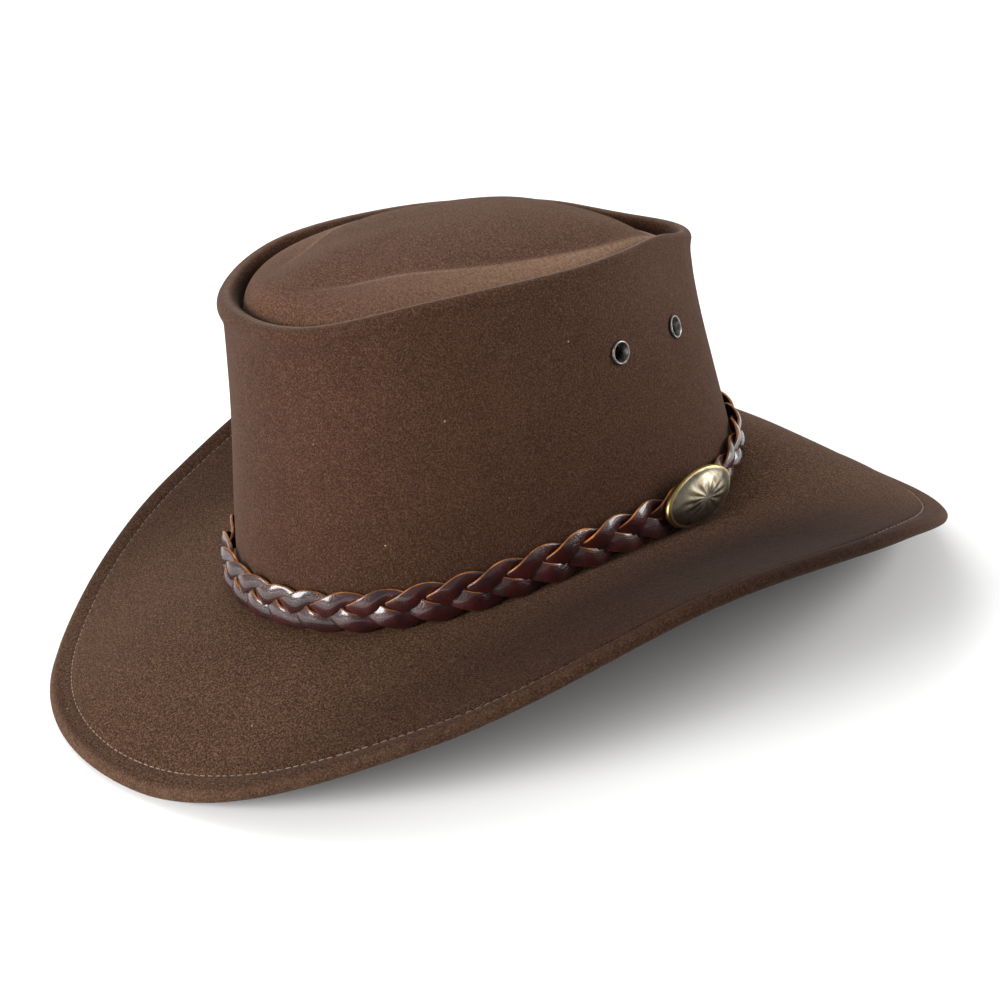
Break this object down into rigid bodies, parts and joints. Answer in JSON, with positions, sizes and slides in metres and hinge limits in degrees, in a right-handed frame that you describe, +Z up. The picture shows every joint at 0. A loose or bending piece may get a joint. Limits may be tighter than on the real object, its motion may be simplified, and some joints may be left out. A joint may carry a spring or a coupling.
{
  "type": "suede outback hat",
  "caption": "Brown suede outback hat with a curled brim, a domed crown inside a rolled rim, a plaited leather band, an oval metal badge and vent eyelets.",
  "frame": {"origin": "on the surface the hat rests on, under the middle of the brim's outline", "axes": "+Z up, the front of the hat towards -Y, the wearer's left towards +X"},
  "size_m": [0.3382, 0.3632, 0.1581],
  "materials": {
    "suede": "matt brown suede with a fine nap",
    "band_leather": "glossy dark red-brown leather with raw orange cut edges",
    "badge_brass": "aged brass, darkened in the hollows",
    "eyelet_metal": "dull nickel"
  },
  "bodies": {
    "root": {"brim": "suede", "crown_side": "suede", "crown_tip": "suede", "band_strand_1": "band_leather", "band_strand_2": "band_leather", "band_strand_3": "band_leather", "badge": "badge_brass", "eyelet_left_front": "eyelet_metal", "eyelet_left_back": "eyelet_metal", "eyelet_right_front": "eyelet_metal", "eyelet_right_back": "eyelet_metal"}
  },
  "joints": []
}
